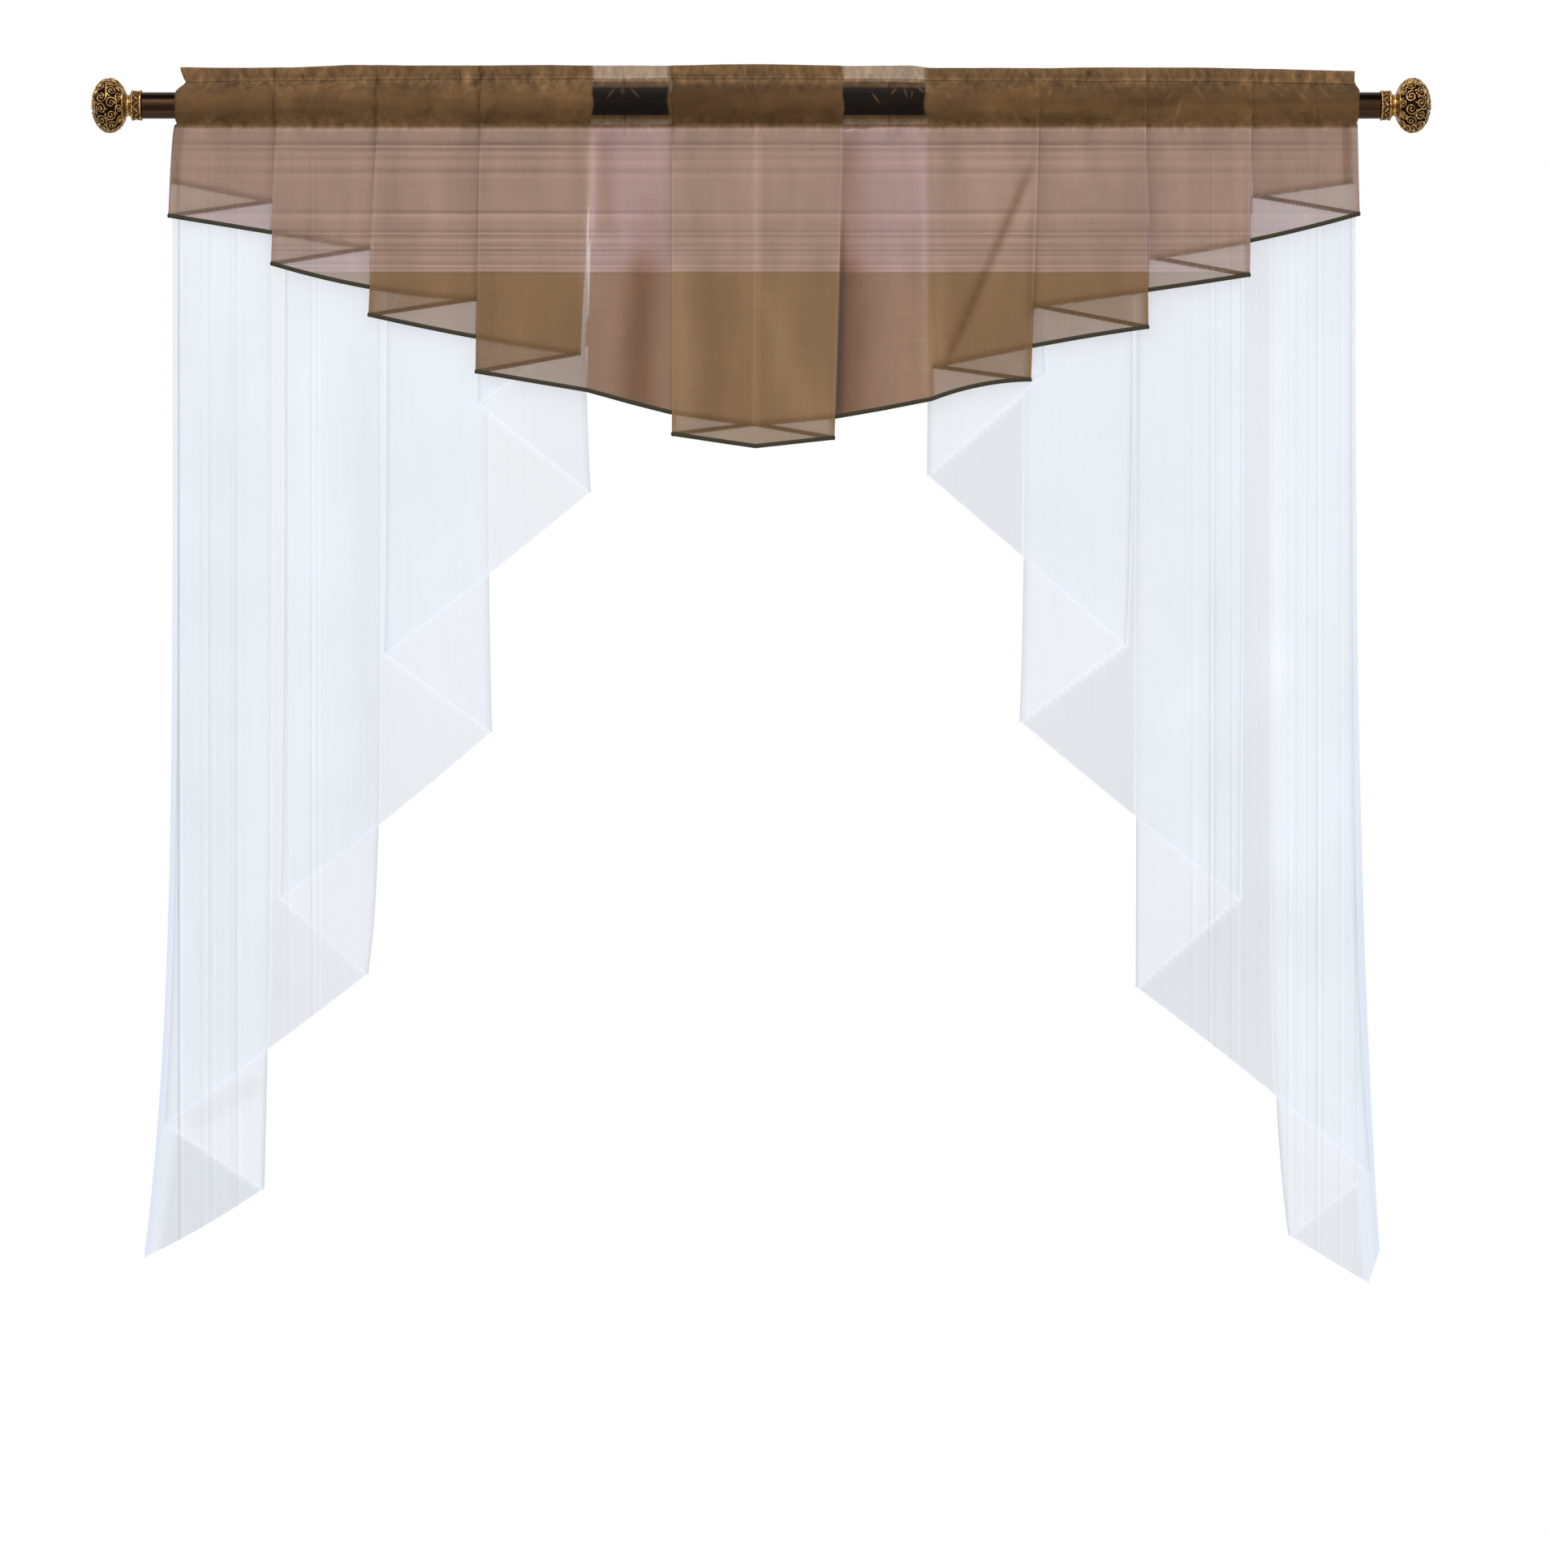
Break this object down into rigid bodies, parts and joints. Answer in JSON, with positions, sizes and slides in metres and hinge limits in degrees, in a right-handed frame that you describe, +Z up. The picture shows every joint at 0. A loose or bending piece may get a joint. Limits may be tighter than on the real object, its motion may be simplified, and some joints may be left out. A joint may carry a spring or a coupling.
{
  "type": "cafe curtain with pleated valance and tails on a rod",
  "caption": "Sheer pleated brown valance stepping down to a box pleat, with white cascade tails behind it, hung by its rod pocket on a dark rod with ball finials.",
  "frame": {"origin": "middle of the rod's axis", "axes": "+X along the rod, to the right as seen from the front; +Y away from the viewer, towards what the rod is fixed to; +Z up"},
  "size_m": [1.4268, 0.059, 1.2986],
  "materials": {
    "rod": "dark bronze, satin",
    "antique_gold": "antique gold with dark recesses",
    "brown_voile": "sheer brown voile, overlocked edge",
    "white_voile": "sheer white voile"
  },
  "bodies": {
    "root": {"rod": "rod", "end_cap_left": "antique_gold", "end_cap_right": "antique_gold", "finial_left": "antique_gold", "finial_right": "antique_gold", "valance": "brown_voile", "tail_left": "white_voile", "tail_right": "white_voile"}
  },
  "joints": []
}
